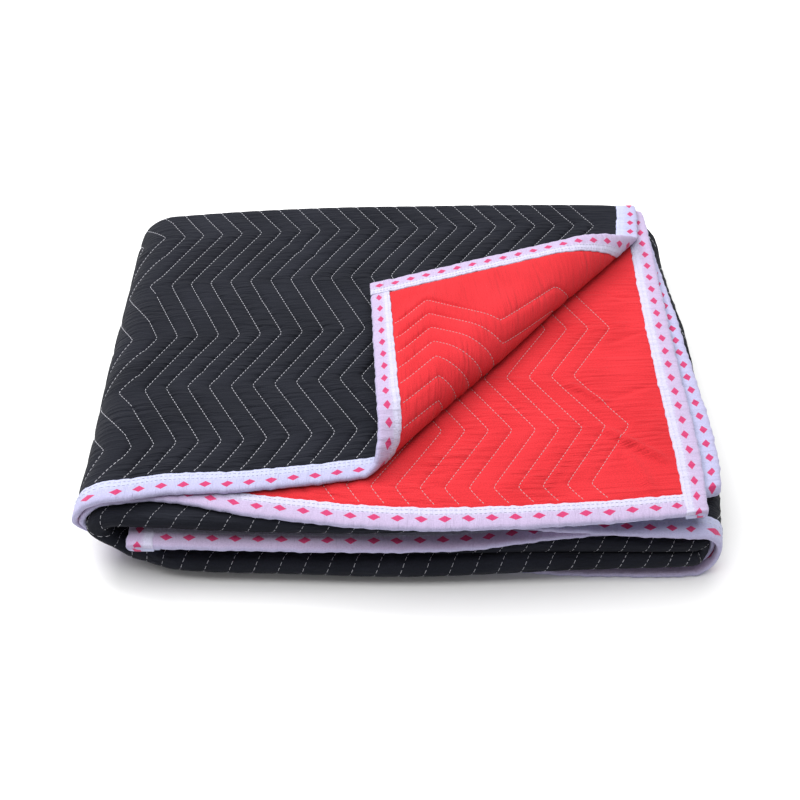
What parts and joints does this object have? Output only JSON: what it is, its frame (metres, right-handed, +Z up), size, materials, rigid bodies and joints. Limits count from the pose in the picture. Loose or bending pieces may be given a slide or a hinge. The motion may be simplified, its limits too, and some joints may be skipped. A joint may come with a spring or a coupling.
{
  "type": "moving pad",
  "caption": "Quilted moving pad with a black face, a red back and taped edges, folded into a flat pack with one corner turned back.",
  "frame": {"origin": "centre of the folded pad's box, on the ground it rests on", "axes": "+X along the folded pad's longer side, +Y from its open front edge to its folded back edge, +Z up"},
  "size_m": [0.6386, 0.5364, 0.1116],
  "materials": {
    "black_cloth": "matte woven cloth with white zigzag quilting",
    "red_cloth": "matte woven cloth with white zigzag quilting",
    "binding_tape": "woven binding tape"
  },
  "bodies": {
    "root": {"black_panel": "black_cloth", "red_panel": "red_cloth", "start_tape": "binding_tape", "end_tape": "binding_tape", "free_side_tape": "binding_tape", "inner_side_tape": "binding_tape"}
  },
  "joints": []
}
